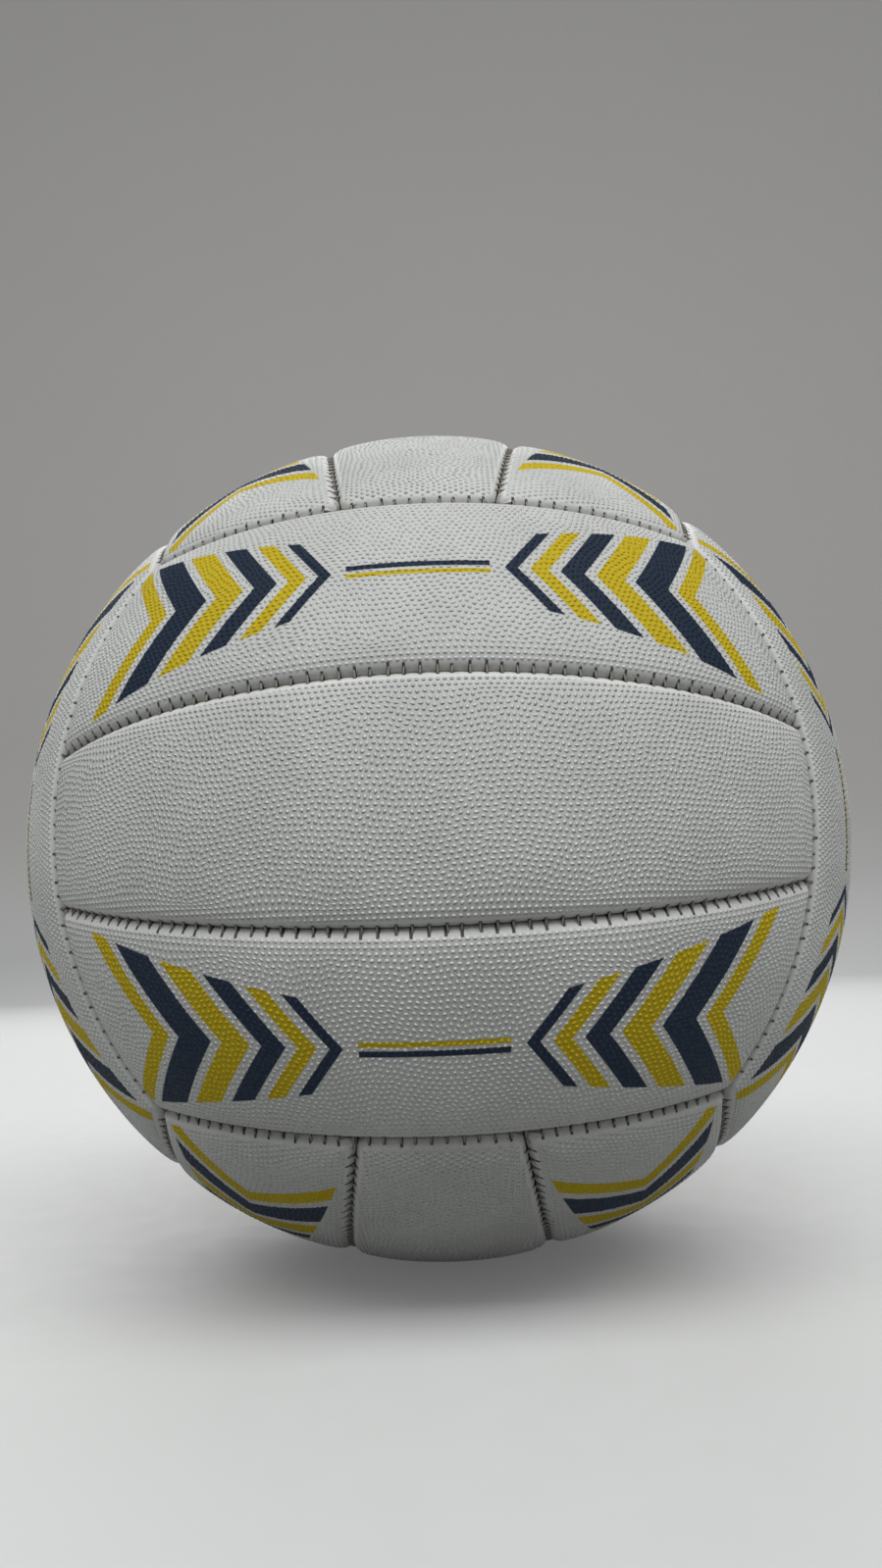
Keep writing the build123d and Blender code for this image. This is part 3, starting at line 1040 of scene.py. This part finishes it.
# Grime and painted shade in the seam grooves inside the outline, as the millimetres where it starts to fade
# and is gone, and its share
GRIME_AND_SHADE_BANDS = ((0.0, 0.5, 0.8), (0.5, 1.8, 0.42))
GRIME_AND_SHADE_SPECKS = (0.7, 1.0)
# Painted shade in the slits at the stitches, as its share and its tone
SLIT_SHARE = 0.95
SLIT_TONE = 0.2
# Heights of the bump in millimetres: pimples on printed and on plain panels, specks and slits
PRINTED_RELIEF = 0.45
PLAIN_RELIEF = 0.57
SPECK_RELIEF = 0.012
SLIT_RELIEF = 0.35


def cover_material(colours, groups, printed):
    """Pebbled leather, smooth and bare at its turned edges, with slits at the stitches, and painted shade
    between the pimples, in the seam grooves and in the slits.

    Correction of the bump is off, so that pimples catch light where the panel itself turns away from it.
    """
    material, nodes, shader = new_material("printed_cover" if printed else "plain_cover")
    material.cycles.use_bump_map_correction = False
    along, across, inside = nodes.attribute("place")[:3]
    pebbled, grain = nodes.attribute("grain")[2:]
    pebble = nodes.times(nodes.group(groups["pebble"], Grain=grain)["Height"], pebbled)
    seams = (nodes.attribute(name)[3] for name in ("long_seam", "end_seam"))
    slits = nodes.most(*(nodes.group(groups["stitch_marks"], Seam=seam)["Mask"] for seam in seams))
    clouds, specks = nodes.group(groups["mottle"], Place=nodes.object_place(), Scale=COVER_CLOUD_SCALE)

    tint = nodes.mix(clouds, *(shade(colours.cover, tone) for tone in COVER_TONES))
    roughness = nodes.step(specks, 0.0, 1.0, *COVER_ROUGHNESS)
    roughness = nodes.math("SUBTRACT", roughness, nodes.times(pebble, PIMPLE_POLISH))
    if printed:
        bare_edge = nodes.step(inside, *PRINT_START)
        dark, bright = nodes.group(groups["chevron"], Along=along, Across=across, Inside=bare_edge)
        tint = nodes.mix(dark, tint, colours.print_dark)
        tint = nodes.mix(bright, tint, colours.print_bright)
        roughness = nodes.math("MULTIPLY_ADD", nodes.most(dark, bright), PRINT_ROUGHNESS, roughness)
    # Painted shade, with a little dirt, in the valleys between pimples
    painted_valley_shade = nodes.times(nodes.step(pebble, 0.0, VALLEY_TOP, VALLEY_SHARE, 0.0), pebbled)
    tint = nodes.mix(painted_valley_shade, tint, nodes.mix(1.0, tint, VALLEY_SHADE, "MULTIPLY"))
    # Grime and painted shade along the seam grooves, darker towards the seam
    grime_and_shade_share = nodes.most(*(nodes.step(inside, fades, gone, share, 0.0) for fades, gone, share in GRIME_AND_SHADE_BANDS))
    groove = nodes.times(grime_and_shade_share, nodes.step(specks, 0.0, 1.0, *GRIME_AND_SHADE_SPECKS))
    tint = nodes.mix(groove, tint, colours.grime_and_shade)
    # Painted shade in the slits where the stitches pull into the folded edges
    tint = nodes.mix(nodes.times(slits, SLIT_SHARE), tint, shade(colours.grime_and_shade, SLIT_TONE))
    nodes.put(shader.inputs["Base Color"], tint)
    nodes.put(shader.inputs["Roughness"], roughness)
    nodes.put(shader.inputs["Specular IOR Level"], COVER_SPECULAR)

    relief = nodes.times(pebble, PRINTED_RELIEF if printed else PLAIN_RELIEF)
    relief = nodes.math("ADD", relief, nodes.times(specks, SPECK_RELIEF))
    bump(nodes, shader, nodes.math("SUBTRACT", relief, nodes.times(slits, SLIT_RELIEF)))
    return material


# Looks of the thread, with the length of one turn and the bump's height in millimetres
PLY_COUNT = 2
PLY_TURN = 0.9
PLY_RELIEF = 0.05
THREAD_CLOUD_SCALE = 160.0
THREAD_TONES = (0.55, 1.1)
THREAD_GRIME = 0.45
THREAD_ROUGHNESS = (0.55, 0.75)


def thread_material(colours, groups):
    """Waxed thread of two plies, twisted along its length."""
    material, nodes, shader = new_material("waxed_thread")
    along, around = nodes.attribute("ply")[:2]
    turns = nodes.math("ADD", nodes.math("DIVIDE", along, PLY_TURN), around)
    twist = nodes.math("SINE", nodes.times(turns, PLY_COUNT * 2 * math.pi))
    clouds, specks = nodes.group(groups["mottle"], Place=nodes.object_place(), Scale=THREAD_CLOUD_SCALE)
    strand = nodes.step(twist, -1.0, 1.0)
    tint = nodes.mix(strand, *(shade(colours.thread, tone) for tone in THREAD_TONES))
    tint = nodes.mix(nodes.times(clouds, THREAD_GRIME), tint, colours.grime_and_shade)
    nodes.put(shader.inputs["Base Color"], tint)
    nodes.put(shader.inputs["Roughness"], nodes.step(specks, 0.0, 1.0, *THREAD_ROUGHNESS))
    bump(nodes, shader, nodes.times(strand, PLY_RELIEF))
    return material


# Looks of the lining, with the weave's pitch in metres and the bump's height in millimetres
WEAVE_PITCH = 0.0009
WEAVE_RELIEF = 0.15
WEAVE_TONE = 0.75
LINING_CLOUD_SCALE = 60.0
LINING_CLOUD_TONE = 0.85
LINING_ROUGHNESS = (0.8, 0.95)


def lining_material(colours, groups):
    """Plain-woven cloth: two crossed sets of ridges over a cloudy tone."""
    material, nodes, shader = new_material("woven_lining")
    place = nodes.object_place()
    x, y, z = nodes.split(place)
    ridges = [
        nodes.math("SINE", nodes.times(nodes.math("ADD", axis, z), 2 * math.pi / WEAVE_PITCH))
        for axis in (x, y)
    ]
    weave = nodes.step(nodes.times(*ridges), -1.0, 1.0)
    clouds, specks = nodes.group(groups["mottle"], Place=place, Scale=LINING_CLOUD_SCALE)
    tint = nodes.mix(weave, shade(colours.lining, WEAVE_TONE), colours.lining)
    tint = nodes.mix(clouds, tint, shade(colours.lining, LINING_CLOUD_TONE))
    nodes.put(shader.inputs["Base Color"], tint)
    nodes.put(shader.inputs["Roughness"], nodes.step(specks, 0.0, 1.0, *LINING_ROUGHNESS))
    bump(nodes, shader, nodes.times(weave, WEAVE_RELIEF))
    return material


RUBBER_ROUGHNESS = (0.48, 0.68)
RUBBER_RELIEF = 0.03


def rubber_material(name, tint, groups, scale, dust):
    """Moulded rubber: a faint bloom of dust in patches over a fine grain."""
    material, nodes, shader = new_material(name)
    clouds, specks = nodes.group(groups["mottle"], Place=nodes.object_place(), Scale=scale)
    bloom = tuple(channel + dust for channel in tint)
    nodes.put(shader.inputs["Base Color"], nodes.mix(clouds, tint, bloom))
    nodes.put(shader.inputs["Roughness"], nodes.step(specks, 0.0, 1.0, *RUBBER_ROUGHNESS))
    bump(nodes, shader, nodes.times(specks, RUBBER_RELIEF))
    return material


# Share of its light that the stage throws back on the ball, and the lift of its tone where it is seen
STAGE_BOUNCE = 0.4
STAGE_LIFT = 0.1
# Heights between which the floor's colour turns into the wall's, and the stage's faint clouds
STAGE_TURN = (-0.1, 0.25)
STAGE_CLOUD_SCALE = 5.0
STAGE_CLOUD_SHARE = 0.25
STAGE_CLOUD_TONE = 0.94
STAGE_ROUGHNESS = (0.75, 0.9)


def stage_material(name, tint, far_tint, groups):
    """Matt painted sheet that goes from the floor's colour to the wall's with height.

    It is pale where it is seen, in a reflection too, and throws less light back on the ball.
    """
    material, nodes, shader = new_material(name)
    rays = nodes.node("ShaderNodeLightPath").outputs
    seen = nodes.most(rays["Is Camera Ray"], rays["Is Glossy Ray"])
    seen = nodes.most(seen, rays["Is Transmission Ray"])
    place = nodes.object_place()
    height = nodes.split(place)[2]
    clouds, specks = nodes.group(groups["mottle"], Place=place, Scale=STAGE_CLOUD_SCALE)
    sheet = nodes.mix(nodes.step(height, *STAGE_TURN), tint, far_tint)
    clouded = nodes.mix(1.0, sheet, (STAGE_CLOUD_TONE,) * 3, "MULTIPLY")
    tone = nodes.mix(nodes.times(clouds, STAGE_CLOUD_SHARE), sheet, clouded)
    thrown = nodes.mix(1.0, tone, (STAGE_BOUNCE,) * 3, "MULTIPLY")
    nodes.put(shader.inputs["Base Color"], nodes.mix(seen, thrown, tone))
    nodes.put(shader.inputs["Emission Color"], (1.0, 1.0, 1.0))
    nodes.put(shader.inputs["Emission Strength"], nodes.times(seen, STAGE_LIFT))
    nodes.put(shader.inputs["Roughness"], nodes.step(specks, 0.0, 1.0, *STAGE_ROUGHNESS))
    return material


def effect(name, make):
    """A shared node group, made when it is first asked for."""
    return bpy.data.node_groups.get(name) or make()


def effects():
    """The node groups that the materials share."""
    return {
        "pebble": effect("pebble_grain", pebble_group),
        "stitch_marks": effect("stitch_marks", stitch_mark_group),
        "mottle": effect("mottle", mottle_group),
        "chevron": effect("chevron_print", chevron_group),
    }


def add_piece(mesh, name, material, slot, *nodes):
    """Puts a new mesh on the ball in place of the solid model's nodes."""
    piece = bpy.data.objects.new(name, mesh)
    bpy.context.scene.collection.objects.link(piece)
    mesh.materials.append(material)
    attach(piece, BODY)
    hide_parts(*nodes)
    return piece


def dress(node_name, material):
    """Gives a node of the solid model its material."""
    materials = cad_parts[node_name].data.materials
    materials.clear()
    materials.append(material)


# A panel draws its rows from one seed and its single pimples from the next
SEEDS_PER_PANEL = 2


class NETBALL_OT_panels(bpy.types.Operator):
    """Sew up the eighteen pebbled panels"""

    bl_idname = "netball.panels"
    bl_label = "Panels"

    def execute(self, context):
        shape, colours = context.scene.netball_shape, context.scene.netball_colours
        groups = effects()
        plan = SeamPlan(shape)
        printed = cover_material(colours, groups, True)
        plain = cover_material(colours, groups, False)
        kinds = ((OuterStrip, printed, False), (MiddleStrip, plain, False), (OuterStrip, printed, True))
        seed = 0
        for group, (outward, along, strip_names) in PANEL_GROUPS.items():
            for strip_name, (strip, material, half_turned) in zip(strip_names, kinds):
                node = f"{group}_{strip_name}_panel"
                turn = group_turn(outward, along, half_turned)
                seed += SEEDS_PER_PANEL
                mesh = panel_mesh(shape, strip(plan), node, turn, seed)
                add_piece(mesh, f"{node}_cover", material, "cover", node)
        return {"FINISHED"}


class NETBALL_OT_stitches(bpy.types.Operator):
    """Sew the stitches across the seams"""

    bl_idname = "netball.stitches"
    bl_label = "Stitches"

    def execute(self, context):
        shape, colours = context.scene.netball_shape, context.scene.netball_colours
        plan = SeamPlan(shape)
        thread = thread_material(colours, effects())
        for seed, (group, facing) in enumerate(PANEL_GROUPS.items()):
            node = f"{group}_stitches"
            mesh = stitch_mesh(shape, plan, node, group_turn(*facing[:2]), seed)
            add_piece(mesh, f"{group}_threads", thread, "thread", node)
        return {"FINISHED"}


# Rubber of each inner node: its material's name, the scale of its clouds and how much dust lightens it
RUBBERS = {
    "bladder": ("bladder_rubber", 25.0, 0.02),
    "valve_seat": ("valve_rubber", 220.0, 0.03),
    "valve_plug": ("plug_rubber", 260.0, 0.02),
}
PLUG_TONE = 0.6


class NETBALL_OT_inside(bpy.types.Operator):
    """Finish the linings, the bladder and the valve"""

    bl_idname = "netball.inside"
    bl_label = "Linings, bladder and valve"

    def execute(self, context):
        colours = context.scene.netball_colours
        groups = effects()
        lining = lining_material(colours, groups)
        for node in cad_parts:
            if node.endswith("_lining"):
                dress(node, lining)
        plug = shade(colours.valve, PLUG_TONE)
        tints = {"bladder": colours.bladder, "valve_seat": colours.valve, "valve_plug": plug}
        for node, (name, scale, dust) in RUBBERS.items():
            dress(node, rubber_material(name, tints[node], groups, scale, dust))
        return {"FINISHED"}


# Widths and heights of the two lamps
KEY_SIZE = (2.4, 0.7)
REAR_SIZE = (1.6, 0.7)
SKY_COLOUR = (0.96, 0.97, 1.0, 1.0)
NEAR_CLIP = 0.01


def stand(name, data, place, aim, roll=0.0):
    """An object that looks from a place to a point, turned about its view by a roll."""
    made = bpy.data.objects.new(name, data)
    bpy.context.scene.collection.objects.link(made)
    made.location = place
    made.rotation_mode = "QUATERNION"
    view = (Vector(aim) - Vector(place)).to_track_quat("-Z", "Y")
    made.rotation_quaternion = view @ Quaternion((0, 0, 1), roll)
    return made


def soft_light(name, place, aim, size, energy):
    """An oblong lamp that looks from a place to a point and that the camera doesn't see."""
    lamp = bpy.data.lights.new(name, "AREA")
    lamp.shape = "RECTANGLE"
    lamp.size, lamp.size_y = size
    lamp.energy = energy
    stand(name, lamp, place, aim).visible_camera = False


# The floor and the wall behind it: front edge, start of the bend, its radius, height and half the width
SWEEP_FRONT = -2.2
SWEEP_BEND = 1.4
SWEEP_ARC = 0.5
SWEEP_RISE = 3.4
SWEEP_HALF_WIDTH = 3.6
SWEEP_ARC_POINTS = 25
SWEEP_COLUMNS = 9


def sweep_mesh(name, floor_height):
    """A floor that curves up into a wall: a profile of a straight run, an arc and a rise, made wide."""
    swing = np.linspace(0, math.pi / 2, SWEEP_ARC_POINTS)
    arc_depth, arc_height = SWEEP_ARC * np.sin(swing), SWEEP_ARC * (1 - np.cos(swing))
    depth = np.concatenate(((SWEEP_FRONT,), SWEEP_BEND + arc_depth, (SWEEP_BEND + SWEEP_ARC,)))
    height = floor_height + np.concatenate(((0.0,), arc_height, (SWEEP_RISE,)))
    width = np.linspace(-SWEEP_HALF_WIDTH, SWEEP_HALF_WIDTH, SWEEP_COLUMNS)
    across, depth = np.meshgrid(width, depth)
    height = np.broadcast_to(height[:, None], across.shape)
    patchwork = Patchwork()
    patchwork.skin(patchwork.add(np.stack((across, depth, height), axis=-1), {}))
    return patchwork.mesh(name)


class NETBALL_OT_stage(bpy.types.Operator):
    """Set the floor, the light and the camera"""

    bl_idname = "netball.stage"
    bl_label = "Stage"

    def execute(self, context):
        scene = context.scene
        stage, colours = scene.netball_stage, scene.netball_colours
        floor = sweep_mesh("studio_sweep", -scene.netball_shape.ball_radius)
        floor.materials.append(stage_material("studio_sheet", colours.floor, colours.backdrop, effects()))
        sheet = bpy.data.objects.new("studio_sweep", floor)
        scene.collection.objects.link(sheet)

        soft_light("key_light", stage.key_place, stage.key_aim, KEY_SIZE, stage.key_power)
        soft_light("rear_light", stage.rear_place, stage.rear_aim, REAR_SIZE, stage.rear_power)
        world = bpy.data.worlds.new("soft_sky")
        world.use_nodes = True
        sky = world.node_tree.nodes["Background"]
        sky.inputs["Color"].default_value = SKY_COLOUR
        sky.inputs["Strength"].default_value = stage.sky_strength
        scene.world = world

        lens = bpy.data.cameras.new("camera")
        lens.lens = stage.camera_lens
        lens.clip_start = NEAR_CLIP
        scene.camera = stand("camera", lens, stage.camera_place, stage.camera_aim, stage.camera_roll)
        scene.view_settings.view_transform = "Standard"
        return {"FINISHED"}


OPERATORS = (NETBALL_OT_panels, NETBALL_OT_stitches, NETBALL_OT_inside, NETBALL_OT_stage)


class NETBALL_PT_sidebar(bpy.types.Panel):
    """The ball's steps and sizes"""

    bl_label = "Netball"
    bl_idname = "NETBALL_PT_sidebar"
    bl_space_type = "VIEW_3D"
    bl_region_type = "UI"
    bl_category = "Netball"

    def draw(self, context):
        for operator in OPERATORS:
            self.layout.operator(operator.bl_idname)
        for settings in ("netball_shape", "netball_colours", "netball_stage"):
            group = getattr(context.scene, settings)
            column = self.layout.column()
            for name in group.bl_rna.properties.keys():
                if name not in ("rna_type", "name"):
                    column.prop(group, name)


SETTINGS = {
    "netball_shape": NetballShape,
    "netball_colours": NetballColours,
    "netball_stage": NetballStage,
}


def register():
    """Registers the settings, the operators and the panel."""
    for name, settings in SETTINGS.items():
        bpy.utils.register_class(settings)
        setattr(bpy.types.Scene, name, PointerProperty(type=settings))
    for kind in (*OPERATORS, NETBALL_PT_sidebar):
        bpy.utils.register_class(kind)


def unregister():
    """Takes back what register added."""
    for kind in (NETBALL_PT_sidebar, *reversed(OPERATORS)):
        bpy.utils.unregister_class(kind)
    for name, settings in SETTINGS.items():
        delattr(bpy.types.Scene, name)
        bpy.utils.unregister_class(settings)


def main():
    """Builds the ball step by step."""
    register()
    bpy.ops.netball.panels()
    bpy.ops.netball.stitches()
    bpy.ops.netball.inside()
    bpy.ops.netball.stage()


if __name__ == "__main__":
    main()
